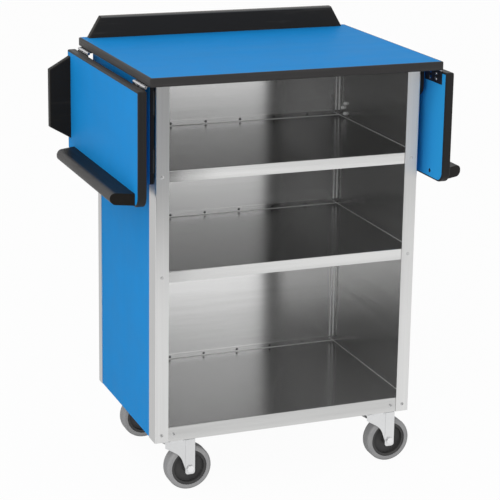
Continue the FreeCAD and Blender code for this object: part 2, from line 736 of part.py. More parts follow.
for side, turned in SIDES.items():
    leaf = side + "_leaf"
    board = add_body(leaf + "_blank")
    add_pad(board, "YZ_Plane", d.board_thick, leaf_loop(d.band_thick))
    place(board, -leaf_outer, ZERO, leaf_top, turned)
    hinge_holes = side_spots(leaf_hinge_spots, turned)
    handle_holes = mirrored_spots(handle_spots) if turned else handle_spots
    guard_holes = mirrored_spots(leaf_guard_spots) if turned else leaf_guard_spots
    drilled(leaf + "_board", board, (hinge_holes, screw_hole, d.screw_length),
            (handle_holes + guard_holes, screw_hole, d.board_thick))

    band = add_body(leaf + "_edge_band")
    add_pad(band, "YZ_Plane", d.board_thick, leaf_loop(ZERO, d.band_corner), leaf_loop(d.band_thick))
    half_y, low_z = float(board_half_depth), float(d.band_thick - d.leaf_length)
    reach = float(d.leaf_corner) - float(d.band_thick)

    def on_outside(p, along):
        if abs(along.x) > ALONG:
            return False
        corner_y, corner_z = abs(p.y) - (half_y - reach), (low_z + reach) - p.z
        if corner_y > 0 and corner_z > 0:
            return math.hypot(corner_y, corner_z) > reach + float(d.band_thick) / 2
        outside = max(abs(p.y) - half_y, low_z - p.z, p.z + float(d.band_thick))
        return outside > float(d.band_thick) / 3

    round_edges(band, d.band_edge, on_outside)
    place(band, -leaf_outer, ZERO, leaf_top, turned)
    keep(leaf + "_edge_band", band)

    guard = add_body(leaf + "_guard_board")
    high, low = -d.leaf_guard_hinge_inset, d.leaf_guard_free_inset - d.leaf_length
    add_pad(guard, "XZ_Plane", d.guard_thick,
            [(ZERO, high), (ZERO, low), (-d.guard_height, low + d.guard_slope),
             (-d.guard_height, high - d.guard_slope)])
    round_edges(guard, d.guard_edge, lambda p, along: abs(along.y) < ALONG and p.x < -NEAR)
    guard_rear = top_half_depth - d.guard_rear_inset
    place(guard, -leaf_outer, d.guard_thick - guard_rear if turned else guard_rear, leaf_top, turned)
    drilled(leaf + "_guard", guard, (guard_holes, screw_hole, guard_screw_length))

    bar = add_body(leaf + "_handle_bar")
    low, high = d.handle_edge_inset, d.handle_edge_inset + d.handle_thick
    handle_length = d.top_depth - d.handle_near_inset - d.handle_far_inset
    add_pad(bar, "XZ_Plane", handle_length,
            [(ZERO, high), (-d.handle_reach, high, d.handle_nose), (-d.handle_reach, low, d.handle_nose),
             (ZERO, low)])
    plan = add_body(leaf + "_handle_plan")
    add_pad(plan, "XY_Plane", high,
            [(ZERO, ZERO), (-d.handle_reach, -d.handle_slope),
             (-d.handle_reach, d.handle_slope - handle_length), (ZERO, -handle_length)])
    handle_inset = d.handle_near_inset if turned else d.handle_far_inset
    for blank in (bar, plan):
        place(blank, -leaf_outer, top_half_depth - handle_inset, leaf_bottom, turned)
    handle = doc.addObject("Part::Common", leaf + "_handle_shaped")
    handle.Base = bar
    handle.Tool = plan
    drilled(leaf + "_handle", handle, (handle_holes, screw_hole, d.handle_bolt_depth))

    plates = []
    for end in (-1, 1):
        spot = (-pin_reach, hinge_y * end, pin_level)
        plate = posed(moving_half, spot, (about_z, half_turn), (about_y, -quarter_turn))
        plate = bored(plate, leaf_hinge_spots, screw_hole, d.hinge_plate)
        if turned:
            plate.rotate(vector(0, 0, 0), vector(*about_z), half_turn)
        plates.append(plate)
    solid_group(leaf + "_hinge_plates", plates)
    screws = repeated(flat_screw, hinge_holes)
    screws += repeated(handle_bolt, handle_holes)
    screws += repeated(guard_screw, guard_holes)
    solid_group(leaf + "_screws", screws)

# Leaf supports: tapered boards folded flat against the cabinet's sides
for side, turned in SIDES.items():
    wing = side + "_wing"
    board = add_body(wing + "_blank")
    root, tip = d.wing_front_inset - half_depth, d.wing_front_inset - half_depth + d.wing_length
    add_pad(board, "YZ_Plane", d.wing_thick,
            [(root, ZERO), (root, -d.wing_root_height), (root + d.wing_root_land, -d.wing_root_height),
             (tip, -d.wing_tip_height), (tip, ZERO)])
    round_edges(board, d.wing_corner,
                lambda p, along: abs(along.x) > ALONG and p.z < -NEAR and p.y > float(root) + NEAR)
    place(board, -(wing_inner + d.wing_thick), ZERO, wing_top, turned)
    notches = []
    for x, y, z in wing_pins:
        room = d.wing_knuckle_radius + d.knuckle_gap * 2
        depth = wing_axis_x + room - wing_inner
        ahead = half_depth - d.wing_front_inset - wing_axis_y
        tall = d.wing_hinge_length + d.knuckle_gap * 2
        notch = Part.makeBox(float(depth), float(ahead + room), float(tall),
                             vector(-wing_axis_x - room, d.wing_front_inset - half_depth, z - tall / 2))
        if turned:
            notch.rotate(vector(0, 0, 0), vector(*about_z), half_turn)
        notches.append(notch)
    notched = doc.addObject("Part::Feature", wing + "_notches")
    notched.Shape = Part.makeCompound(notches)
    notched_board = add_cut(wing + "_notched", board, notched)
    holes = side_spots(wing_screw_spots, turned)
    drilled(wing + "_board", notched_board, (holes, wing_bolt_hole, d.wing_hinge_plate + d.wing_screw_depth))
    hardware = []
    for spot in wing_pins:
        plate = posed(wing_board_half, spot, *upright)
        hardware.append(bored(plate, wing_screw_spots, wing_bolt_hole, d.wing_hinge_plate))
    for point, direction in wing_screw_spots:
        length = d.wing_hinge_plate + d.wing_screw_depth
        hardware.append(rod(d.wing_bolt_radius, length, point, against(direction)))
    if turned:
        for shape in hardware:
            shape.rotate(vector(0, 0, 0), vector(*about_z), half_turn)
    solid_group(wing + "_hinges", hardware)

# Fasteners that stay with the cabinet
barrel = d.dome_nut_rise / 2
dome_nut_bolt = domed(d.dome_nut_radius, barrel, d.wing_bolt_radius, wing_bolt_reach + barrel)
dome_nut_bolt.translate(vector(0, 0, barrel))
dome_nut_bolt = dome_nut_bolt.fuse(rod(d.dome_nut_radius, barrel)).removeSplitter()
solid_group("wing_hinge_bolts", repeated(dome_nut_bolt, wing_bolt_spots + turned_spots(wing_bolt_spots)))
rivet = domed(d.rivet_head, d.rivet_rise, d.rivet_shank, rivet_reach)
solid_group("shelf_rivets", repeated(rivet, [spot for spots in rivet_spots.values() for spot in spots]))
apron_screw = domed(d.screw_head, d.screw_rise, d.screw_shank, apron_screw_length)
post_screws = repeated(apron_screw, bottom_apron_spots)
for levels, rise in ((post_levels[:-1], d.flush_rise), (post_levels[-1:], d.screw_rise)):
    for face, direction, length in ((-half_depth, front, front_screw_length),
                                    (half_depth, rear, rear_screw_length)):
        screw = domed(d.screw_head, rise, d.screw_shank, length)
        post_screws += repeated(screw, post_spots(face, direction, levels))
solid_group("post_screws", post_screws)
worktop_screws = repeated(flat_screw, top_spots + fixed_hinge_spots) + repeated(guard_screw, guard_spots)
solid_group("worktop_screws", worktop_screws)

# Channels under the bottom shelf that carry the casters
deck_underside = d.bottom_shelf_height - d.shelf_sheet
channel_height = deck_underside - plate_top
for label, x in (("left_caster_channel", -caster_x), ("right_caster_channel", caster_x)):
    body = add_body(label + "_fold")
    half, fold = d.channel_width / 2, d.channel_sheet
    add_pad(body, "XZ_Plane", shell_half_depth + clear_rear - d.shelf_sheet * 2,
            [(-half, ZERO), (half, ZERO), (half, channel_height), (half - fold, channel_height),
             (half - fold, fold), (fold - half, fold), (fold - half, channel_height),
             (-half, channel_height)])
    place(body, x, clear_rear - d.shelf_sheet, plate_top)
    drilled(label, body, (caster_bolt_spots, caster_bolt_hole, d.plate_thick + d.channel_sheet))

# Caster plates, kingpins and bolts
plates, kingpins = [], []
kingpin_hole = d.kingpin_radius + d.running_fit
kingpin_length = plate_top - crown_lower + d.swivel_gap
for x, y in caster_places.values():
    corner = vector(x - d.plate_length / 2, y - d.plate_width / 2, plate_bottom)
    plate = Part.makeBox(float(d.plate_length), float(d.plate_width), float(d.plate_thick), corner)
    race = rod(d.race_radius, d.race_depth, (x, y, race_bottom))
    bore = rod(d.kingpin_radius, plate_top - race_bottom, (x, y, race_bottom))
    plate = plate.fuse(race).cut(bore).removeSplitter()
    plates.append(bored(plate, caster_bolt_spots, caster_bolt_hole, d.plate_thick))
    pin_low = crown_lower - d.swivel_gap
    pin = rod(d.kingpin_radius, kingpin_length, (x, y, pin_low))
    head = rod(d.kingpin_head, d.kingpin_head_thick, (x, y, pin_low - d.kingpin_head_thick))
    kingpins.append(pin.fuse(head).removeSplitter())
solid_group("caster_plates", plates)
solid_group("caster_kingpins", kingpins)


def hexagon(radius, height):
    corners = [vector(float(radius) * math.cos(math.pi / 3 * i), float(radius) * math.sin(math.pi / 3 * i), 0)
               for i in range(6)]
    return Part.Face(Part.makePolygon(corners + corners[:1])).extrude(vector(0, 0, height))


bolt_length = d.plate_thick + d.channel_sheet + d.caster_bolt_rise
hex_bolt = hexagon(d.caster_bolt_head, d.caster_bolt_rise)
hex_bolt = hex_bolt.fuse(rod(d.caster_bolt_radius, bolt_length, direction=down))
solid_group("caster_bolts", repeated(hex_bolt.removeSplitter(), caster_bolt_spots))

# Caster forks, axles, hubs and tyres
axle_x = d.caster_trail
axle_z = d.wheel_radius
foot = d.fork_foot_half
strap_back, strap_front = axle_x - foot, axle_x + foot
fork_top = crown_lower + d.crown_thick
shoulder = crown_lower - d.fork_shoulder
waist = crown_lower - d.fork_waist_drop
foot_low = axle_z - d.fork_foot_drop
cheek_half = fork_half - d.fork_strap_rise
for name, (x, y) in caster_places.items():
    cheeks = add_body(name + "_fork_cheeks")
    add_pad(cheeks, "XZ_Plane", cheek_half * 2,
            [(-d.fork_back, shoulder), (d.fork_waist, waist), (strap_back, axle_z), (axle_x, axle_z),
             (axle_x, fork_top), (-d.fork_back, fork_top)])
    round_edges(cheeks, d.fork_waist_bend, lambda p, along: (
        abs(along.y) > ALONG and abs(p.z - float(waist)) < NEAR))
    place(cheeks, ZERO, cheek_half, ZERO)
    straps = add_body(name + "_fork_straps")
    add_pad(straps, "XZ_Plane", fork_half * 2,
            [(strap_back, foot_low, d.fork_foot_radius), (strap_front, foot_low, d.fork_foot_radius),
             (strap_front, fork_top), (strap_back, fork_top)])
    place(straps, ZERO, fork_half, ZERO)
    legs = doc.addObject("Part::Fuse", name + "_fork_legs")
    legs.Base = cheeks
    legs.Tool = straps
    slot = add_box(name + "_fork_slot", d.fork_back + strap_front + foot * 2, d.fork_space, crown_lower)
    place(slot, -d.fork_back - foot, -d.fork_space / 2, ZERO)
    crown = add_cylinder(name + "_fork_crown", d.race_radius, crown_upper - crown_lower)
    place(crown, ZERO, ZERO, crown_lower)
    kingpin_bore = add_cylinder(name + "_kingpin_bore", kingpin_hole, crown_upper)
    axle_bore = add_cylinder(name + "_axle_bore", d.axle_radius + d.hole_fit, fork_half * 2)
    axle_bore.Placement = at((0, 0, 0), front)
    place(axle_bore, axle_x, fork_half, axle_z)
    bent = add_cut(name + "_fork_bent", legs, slot)
    joined = doc.addObject("Part::Fuse", name + "_fork_joined")
    joined.Base = bent
    joined.Tool = crown
    swivel = add_cut(name + "_fork_swivel", joined, kingpin_bore)
    fork = add_cut(name + "_fork_bored", swivel, axle_bore)
    fork.Refine = True
    place(fork, x, y, ZERO)
    keep(name + "_fork", fork)

    shaft_half = fork_half + d.axle_head_thick
    shaft = rod(d.axle_radius, fork_half * 2, (0, 0, -fork_half))
    cap = hexagon(d.axle_head, d.axle_head_thick)
    for end in (-shaft_half, fork_half):
        shaft = shaft.fuse(posed(cap, (0, 0, end)))
    axle = posed(shaft.removeSplitter(), (x + axle_x, y, axle_z), (about_x, quarter_turn))
    solid_group(name + "_axle", [axle])

    rim_seat = d.wheel_radius - d.tyre_thick
    hub = add_body(name + "_hub_turned")
    bore = d.axle_radius + d.running_fit
    boss, web, rim = d.boss_width / 2, d.web_thick / 2, d.rim_width / 2
    rim_inner = rim_seat - d.rim_thick
    hub_sketch = add_sketch(hub, "YZ_Plane", [
        (-boss, bore), (boss, bore), (boss, d.boss_radius), (web, d.boss_radius), (web, rim_inner),
        (rim, rim_inner), (rim, rim_seat), (-rim, rim_seat), (-rim, rim_inner), (-web, rim_inner),
        (-web, d.boss_radius), (-boss, d.boss_radius)])
    tyre = add_body(name + "_tyre_turned")
    tread = d.wheel_width / 2
    tyre_sketch = add_sketch(tyre, "YZ_Plane", [
        (-tread, rim_seat), (tread, rim_seat), (tread, d.wheel_radius, d.tyre_shoulder),
        (-tread, d.wheel_radius, d.tyre_shoulder)])
    for label, body, sketch in ((name + "_hub", hub, hub_sketch), (name + "_tyre", tyre, tyre_sketch)):
        turning = body.newObject("PartDesign::Revolution", "Turning")
        turning.Profile = sketch
        turning.ReferenceAxis = (sketch, ["H_Axis"])
        turning.Angle = 360
        place(body, x + axle_x, y, axle_z)
        keep(label, body)

# Build, check and write out
doc.recompute()
for thing in doc.Objects:
    if "Invalid" in thing.State or "Error" in thing.State:
        raise RuntimeError(f"{thing.Label} did not build: {thing.State}")
for label, thing in nodes.items():
    if thing.Shape.isNull() or not thing.Shape.isValid() or not thing.Shape.Solids:
        raise RuntimeError(f"{label} has no valid solid")

os.makedirs("parts", exist_ok=True)
for label, thing in nodes.items():
    thing.Shape.exportStep(f"parts/{label}.step")
    print(f"{label}: {len(thing.Shape.Solids)} solids, {thing.Shape.Volume / 1000:.1f} cm3")
print(len(nodes), "nodes")
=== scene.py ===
import math
import bmesh
import bpy
from mathutils import Matrix, Vector


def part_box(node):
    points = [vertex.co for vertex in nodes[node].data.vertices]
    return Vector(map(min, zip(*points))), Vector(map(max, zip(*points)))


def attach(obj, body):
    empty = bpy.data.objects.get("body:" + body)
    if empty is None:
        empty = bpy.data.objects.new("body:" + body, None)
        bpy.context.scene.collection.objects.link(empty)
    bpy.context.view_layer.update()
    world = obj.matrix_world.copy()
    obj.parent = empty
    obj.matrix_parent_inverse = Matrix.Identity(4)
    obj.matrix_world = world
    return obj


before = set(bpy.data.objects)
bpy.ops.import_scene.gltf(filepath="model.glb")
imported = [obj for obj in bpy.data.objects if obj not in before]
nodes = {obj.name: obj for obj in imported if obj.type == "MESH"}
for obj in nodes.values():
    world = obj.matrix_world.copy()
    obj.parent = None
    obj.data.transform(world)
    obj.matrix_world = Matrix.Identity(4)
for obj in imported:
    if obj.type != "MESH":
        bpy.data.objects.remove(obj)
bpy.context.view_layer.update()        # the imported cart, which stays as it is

scene = bpy.context.scene
print("frame:", len(nodes), "nodes")


# Material helpers

whole = (0.0, 1.0)
noiseMiddle = (0.3, 0.7)        # most of a noise lies between these
squareOn = 0.8        # a face looks along an axis where its normal reaches this far along it


def startMaterial(name, tone, rough, metal=0.0, specular=0.5):
    mat = bpy.data.materials.new(name)
    mat.use_nodes = True
    mat.diffuse_color = (*tone, 1.0)
    shader = mat.node_tree.nodes["Principled BSDF"]
    shader.inputs["Base Color"].default_value = (*tone, 1.0)
    shader.inputs["Roughness"].default_value = rough
    shader.inputs["Metallic"].default_value = metal
    shader.inputs["Specular IOR Level"].default_value = specular
    return mat, mat.node_tree, shader


def startFinish(name, look):
    metal = look.get("metal", 0.0)
    specular = look.get("specular", 0.5)
    return startMaterial(name, look["tone"], look["rough"][0], metal, specular)


def objectCoords(tree, stretch=(1, 1, 1), centre=(0, 0, 0)):
    coords = tree.nodes.new("ShaderNodeTexCoord")
    shift = tree.nodes.new("ShaderNodeVectorMath")
    shift.operation = "SUBTRACT"
    shift.inputs[1].default_value = centre
    mapping = tree.nodes.new("ShaderNodeMapping")
    mapping.inputs["Scale"].default_value = stretch
    tree.links.new(coords.outputs["Object"], shift.inputs[0])
    tree.links.new(shift.outputs["Vector"], mapping.inputs["Vector"])
    return mapping.outputs["Vector"]


def axesOf(tree, vector):
    parts = tree.nodes.new("ShaderNodeSeparateXYZ")
    tree.links.new(vector, parts.inputs["Vector"])
    return parts.outputs


def placeOf(tree):        # where a point lies on the cart
    return axesOf(tree, objectCoords(tree))


def facingOf(tree):        # which way a face looks
    return axesOf(tree, tree.nodes.new("ShaderNodeTexCoord").outputs["Normal"])


def noise(tree, vector, scale=1.0, detail=3.0, rough=0.5):
    tex = tree.nodes.new("ShaderNodeTexNoise")
    tex.inputs["Scale"].default_value = scale
    tex.inputs["Detail"].default_value = detail
    tex.inputs["Roughness"].default_value = rough
    tree.links.new(vector, tex.inputs["Vector"])
    return tex.outputs["Fac"]


def remap(tree, value, target, source=noiseMiddle):
    span = tree.nodes.new("ShaderNodeMapRange")
    for label, limit in zip(("From Min", "From Max", "To Min", "To Max"), (*source, *target)):
        span.inputs[label].default_value = limit
    tree.links.new(value, span.inputs["Value"])
    return span.outputs["Result"]


def calc(tree, operation, a, b=0.0):
    node = tree.nodes.new("ShaderNodeMath")
    node.operation = operation
    for socket, value in zip(node.inputs, (a, b)):
        if isinstance(value, (int, float)):
            socket.default_value = value
        else:
            tree.links.new(value, socket)
    return node.outputs["Value"]


def average(tree, a, b):
    return calc(tree, "MULTIPLY", calc(tree, "ADD", a, b), 0.5)


def mixTones(tree, factor, toneA, toneB):
    mix = tree.nodes.new("ShaderNodeMix")
    mix.data_type = "RGBA"
    tree.links.new(factor, mix.inputs["Factor"])
    for name, tone in (("A", toneA), ("B", toneB)):
        socket = next(s for s in mix.inputs if s.name == name and s.type == "RGBA")
        if isinstance(tone, tuple):
            socket.default_value = (*tone, 1.0)
        else:
            tree.links.new(tone, socket)
    return next(s for s in mix.outputs if s.type == "RGBA")


def scaled(tone, factor):
    return tuple(min(1.0, c * factor) for c in tone)


def varyTone(tree, factor, look):
    darker = scaled(look["tone"], 1 - look["contrast"])
    paler = scaled(look["tone"], 1 + look["contrast"])
    return mixTones(tree, factor, darker, paler)


def varyRough(tree, shader, value, look):
    tree.links.new(remap(tree, value, look["rough"]), shader.inputs["Roughness"])


def addBump(tree, shader, height, look):
    if not look.get("bump"):
        return
    bump = tree.nodes.new("ShaderNodeBump")
    bump.inputs["Strength"].default_value = look["bump"]
    bump.inputs["Distance"].default_value = look["relief"]
    tree.links.new(height, bump.inputs["Height"])
    tree.links.new(bump.outputs["Normal"], shader.inputs["Normal"])


def dress(finish, *names):
    for name in names:
        data = nodes[name].data
        data.materials.clear()
        data.materials.append(finish)


# Brushed steel: posts, walls and shelves

# Noise cells in a metre, along the grain and across it
brushing = {"fine": (5, 900), "streak": (1.6, 60), "fineShare": 0.45, "streakShare": 0.55}
# A post's side faces get a darker tone, painted shade
postLook = {"tone": (0.76, 0.76, 0.755), "metal": 1.0, "rough": (0.32, 0.38), "grain": (0, 0, 1),
            "brushed": 0.9, "contrast": 0.07, "smudge": 7.0, "bump": 0.03, "relief": 0.0004,
            "sideShadeTone": (0.58, 0.58, 0.576)}
frontPostLook = {**postLook, "innerMetal": 0.3, "innerTurn": (0.5, 0.9)}
wallLook = {"tone": (0.56, 0.56, 0.555), "metal": 0.935, "rough": (0.15, 0.165), "grain": (0, 1, 0),
            "brushed": 0.95, "contrast": 0.10, "smudge": 5.0}
leftWallLook = {**wallLook, "metal": 0.65}
# The back wall's copy of the steel is paler than the other walls, painted light
litBackLook = {**wallLook, "tone": (1.0, 1.0, 0.995), "metal": 0.93, "rough": (0.21, 0.23), "grain": (1, 0, 0)}
lipDepth = 0.002        # the lip and its bend, from the rear of a shelf
# A shelf's deck and underside get darker tones, painted shade, and its lip a white tone, a painted highlight
shelfLook = {**wallLook, "tone": (0.68, 0.68, 0.675), "metal": 0.99, "grain": (1, 0, 0),
             "lipFront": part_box("top_shelf")[1].y - lipDepth, "lipHighlightTone": litBackLook["tone"],
             "deckShadeTone": (0.42, 0.42, 0.417), "undersideShadeTone": (0.22, 0.22, 0.22)}
# The bottom shelf's copy of the steel is darker, painted shade
shadedBaseLook = {**shelfLook, "tone": (0.58, 0.58, 0.575), "metal": 0.945, "deckShadeTone": (0.50, 0.50, 0.497)}


def grainNoise(tree, look, kind, detail):
    along, across = brushing[kind]
    stretch = [along if part else across for part in look["grain"]]
    return noise(tree, objectCoords(tree, stretch), detail=detail)


def brushedSteel(name, look):
    mat, tree, shader = startFinish(name, look)
    shader.inputs["Anisotropic"].default_value = look["brushed"]
    surface = tree.nodes.new("ShaderNodeNewGeometry")
    across = tree.nodes.new("ShaderNodeVectorMath")        # reflections smear across the grain
    across.operation = "CROSS_PRODUCT"
    across.inputs[1].default_value = look["grain"]
    tree.links.new(surface.outputs["Normal"], across.inputs[0])
    tree.links.new(across.outputs["Vector"], shader.inputs["Tangent"])
    fine = grainNoise(tree, look, "fine", detail=3.0)
    streak = grainNoise(tree, look, "streak", detail=1.0)
    smudge = noise(tree, objectCoords(tree), look["smudge"], detail=2.0)
    both = calc(tree, "ADD", calc(tree, "MULTIPLY", fine, brushing["fineShare"]),
                calc(tree, "MULTIPLY", streak, brushing["streakShare"]))
    varyRough(tree, shader, average(tree, streak, smudge), look)
    tone = varyTone(tree, remap(tree, both, whole), look)
    if look.get("lipFront"):        # painted shade on a shelf's deck and underside, a painted highlight on its lip
        upward = facingOf(tree)["Z"]
        onDeck = calc(tree, "GREATER_THAN", upward, squareOn)
        onLip = calc(tree, "GREATER_THAN", placeOf(tree)["Y"], look["lipFront"])
        below = calc(tree, "LESS_THAN", upward, -squareOn)
        for mask, other in ((onDeck, "deckShadeTone"), (onLip, "lipHighlightTone"), (below, "undersideShadeTone")):
            tone = mixTones(tree, mask, tone, look[other])
    if look.get("sideShadeTone"):        # the faces along the side get a darker tone, painted shade
        onSide = calc(tree, "GREATER_THAN", calc(tree, "ABSOLUTE", facingOf(tree)["X"]), squareOn)
        tone = mixTones(tree, onSide, tone, look["sideShadeTone"])
    tree.links.new(tone, shader.inputs["Base Color"])
    if look.get("innerMetal"):        # the face turned to the inside is duller
        inner = remap(tree, facingOf(tree)["Y"], (look["metal"], look["innerMetal"]), look["innerTurn"])
        tree.links.new(inner, shader.inputs["Metallic"])
    addBump(tree, shader, both, look)
    return mat


dress(brushedSteel("front post steel", frontPostLook), "front_left_post", "front_right_post")
dress(brushedSteel("post steel", postLook), "rear_left_post", "rear_right_post")
dress(brushedSteel("shelf steel", shelfLook), "top_shelf", "middle_shelf")
dress(brushedSteel("bottom shelf shaded steel", shadedBaseLook), "bottom_shelf")
dress(brushedSteel("back wall lit steel", litBackLook), "back_wall")
dress(brushedSteel("left wall steel", leftWallLook), "left_wall")
dress(brushedSteel("wall steel", wallLook), "right_wall")
print("steel brushed")


# Blue laminate: worktop, leaves, panels and leaf supports

blueLook = {"tone": (0.010, 0.219, 0.552), "rough": (0.46, 0.56), "contrast": 0.03, "specular": 0.022,
            "pebble": 1500.0, "mottle": 17.0, "wipe": (3, 26, 26), "bump": 0.04, "relief": 0.0002}
worktopLook = {**blueLook, "tone": (0.010, 0.226, 0.575), "backTone": (0.20, 0.195, 0.19)}
leafLook = {**blueLook, "wipe": (26, 3, 26), "innerLightTone": (0.026, 0.295, 0.655)}
panelLook = {**blueLook, "wipe": (26, 26, 3)}
supportLook = {**blueLook, "edgeTone": (0.010, 0.010, 0.011)}


def laminate(name, look):
    mat, tree, shader = startFinish(name, look)
    pebble = noise(tree, objectCoords(tree), look["pebble"], detail=2.0)
    mottle = noise(tree, objectCoords(tree), look["mottle"], detail=4.0)
    wipe = noise(tree, objectCoords(tree, look["wipe"]), detail=3.0)
    varyRough(tree, shader, average(tree, mottle, wipe), look)
    tone = varyTone(tree, remap(tree, mottle, whole), look)
    if look.get("edgeTone"):        # a solid-core board shows its core on the edges
        onFace = calc(tree, "GREATER_THAN", calc(tree, "ABSOLUTE", facingOf(tree)["X"]), squareOn)
        tone = mixTones(tree, onFace, look["edgeTone"], tone)
    if look.get("innerLightTone"):        # the face that hangs inward gets a paler tone, painted light where it lies in shade
        inward = calc(tree, "MULTIPLY", facingOf(tree)["X"], look["inward"])
        tone = mixTones(tree, calc(tree, "GREATER_THAN", inward, squareOn), tone, look["innerLightTone"])
    if look.get("backTone"):        # a backing sheet covers the underside
        below = calc(tree, "LESS_THAN", facingOf(tree)["Z"], -squareOn)
        tone = mixTones(tree, below, tone, look["backTone"])
    tree.links.new(tone, shader.inputs["Base Color"])
    addBump(tree, shader, pebble, look)
    return mat


dress(laminate("worktop laminate", worktopLook), "worktop_board")
dress(laminate("left leaf laminate", {**leafLook, "inward": 1.0}), "left_leaf_board")
dress(laminate("right leaf laminate", {**leafLook, "inward": -1.0}), "right_leaf_board")
dress(laminate("blue panel", panelLook), "left_panel", "right_panel", "rear_panel")
dress(laminate("support laminate", supportLook), "left_wing_board", "right_wing_board")
print("laminate laid")


# Black edge bands, guard boards and handles

bandLook = {"tone": (0.026, 0.025, 0.025), "rubbed": (0.04, 0.038, 0.038), "rough": (0.4, 0.54),
            "grit": 900.0, "drag": (6, 6, 240), "specular": 0.15, "bump": 0.06, "relief": 0.0003}
# The leaf bands' copy is darker than the worktop's band, painted shade
shadedLeafBandLook = {**bandLook, "tone": (0.013, 0.0125, 0.0125), "rubbed": (0.022, 0.021, 0.021),
                "drag": (240, 6, 6)}
guardLook = {"tone": (0.009, 0.008, 0.007), "rubbed": (0.018, 0.016, 0.014), "rough": (0.42, 0.56),
             "grit": 1300.0, "drag": (5, 60, 60), "specular": 0.1, "bump": 0.07, "relief": 0.0003}
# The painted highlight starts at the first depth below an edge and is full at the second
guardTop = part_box("rear_guard")[1].z
guardHighlight = {"axis": "Z", "edge": guardTop, "depths": (0.004, 0.0015), "ends": "X",
             "tone": (0.085, 0.083, 0.080)}
# The rear guard's copy is paler than the leaf guards, painted light; its top edge gets a painted highlight
litRearGuardLook = {**guardLook, "tone": (0.016, 0.0145, 0.013), "rubbed": (0.036, 0.033, 0.030),
                 "paintedSheen": guardHighlight}
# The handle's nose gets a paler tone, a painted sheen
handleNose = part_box("right_leaf_handle")[1].x
handleSheen = {"axis": "X", "edge": handleNose, "depths": (0.014, 0.008), "ends": "Y",
              "tone": (0.045, 0.043, 0.042)}
handleLook = {**guardLook, "tone": (0.008, 0.007, 0.006), "drag": (60, 5, 60), "rough": (0.38, 0.5),
              "paintedSheen": handleSheen}
rubSpan = (0.56, 0.78)        # only the strongest streaks are rubbed paler
endTurn = 0.5        # an end of a piece is a face turned further than this


def darkPlastic(name, look):
    mat, tree, shader = startFinish(name, look)
    grit = noise(tree, objectCoords(tree), look["grit"], detail=3.0)
    drag = noise(tree, objectCoords(tree, look["drag"]), detail=4.0, rough=0.6)
    varyRough(tree, shader, drag, look)
    tone = mixTones(tree, remap(tree, drag, whole, rubSpan), look["tone"], look["rubbed"])
    paintedSheen = look.get("paintedSheen")
    if paintedSheen:        # an edge gets a paler tone, a painted highlight, but not the ends of the piece
        span = [paintedSheen["edge"] - depth for depth in paintedSheen["depths"]]
        reach = remap(tree, calc(tree, "ABSOLUTE", placeOf(tree)[paintedSheen["axis"]]), whole, span)
        along = calc(tree, "LESS_THAN", calc(tree, "ABSOLUTE", facingOf(tree)[paintedSheen["ends"]]), endTurn)
        tone = mixTones(tree, calc(tree, "MULTIPLY", reach, along), tone, paintedSheen["tone"])
    tree.links.new(tone, shader.inputs["Base Color"])
    addBump(tree, shader, grit, look)
    return mat


dress(darkPlastic("edge band", bandLook), "worktop_edge_band")
dress(darkPlastic("shaded leaf edge band", shadedLeafBandLook), "left_leaf_edge_band", "right_leaf_edge_band")
dress(darkPlastic("guard board", guardLook), "left_leaf_guard", "right_leaf_guard")
dress(darkPlastic("rear guard lit board", litRearGuardLook), "rear_guard")
dress(darkPlastic("handle board", handleLook), "left_leaf_handle", "right_leaf_handle")
print("black boards set")


# Plated and blackened steel: fixings, hinges and caster frames

fixingLook = {"tone": (0.78, 0.78, 0.79), "rough": (0.12, 0.22), "metal": 1.0, "spangle": 500.0,
              "cloud": 300.0, "contrast": 0.05, "bump": 0.03, "relief": 0.0003}
paleLook = {**fixingLook, "tone": (0.74, 0.74, 0.745), "rough": (0.28, 0.36), "metal": 0.45}
screwLook = {**paleLook, "tone": (0.52, 0.52, 0.52), "metal": 0.7}
nutLook = {**fixingLook, "tone": (0.95, 0.95, 0.95), "rough": (0.14, 0.20), "metal": 0.62}
rivetLook = {**fixingLook, "tone": (0.36, 0.36, 0.365), "rough": (0.12, 0.18)}
leafFixingLook = {**fixingLook, "darkBelow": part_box("left_leaf_handle")[1].z, "darkTone": (0.05, 0.05, 0.052)}
zincLook = {"tone": (0.74, 0.745, 0.75), "rough": (0.28, 0.36), "metal": 1.0, "spangle": 200.0,
            "cloud": 22.0, "contrast": 0.03}
hingeLook = {"tone": (0.014, 0.014, 0.015), "rough": (0.34, 0.48), "metal": 0.0, "spangle": 400.0,
             "cloud": 200.0, "contrast": 0.2, "bump": 0.05, "relief": 0.0003}
barrelOut = 0.0045        # from the worktop's board, just outside its edge band
barrelUp = 0.0007        # from the top of the hanging leaf's edge band
leafHingeReflectionLook = {**hingeLook, "bareBeyond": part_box("worktop_board")[1].x + barrelOut,
                 "bareAbove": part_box("left_leaf_edge_band")[1].z + barrelUp, "bareTone": (0.60, 0.60, 0.61)}
spangleShare = 0.3
patchSpan = (0.35, 0.9)


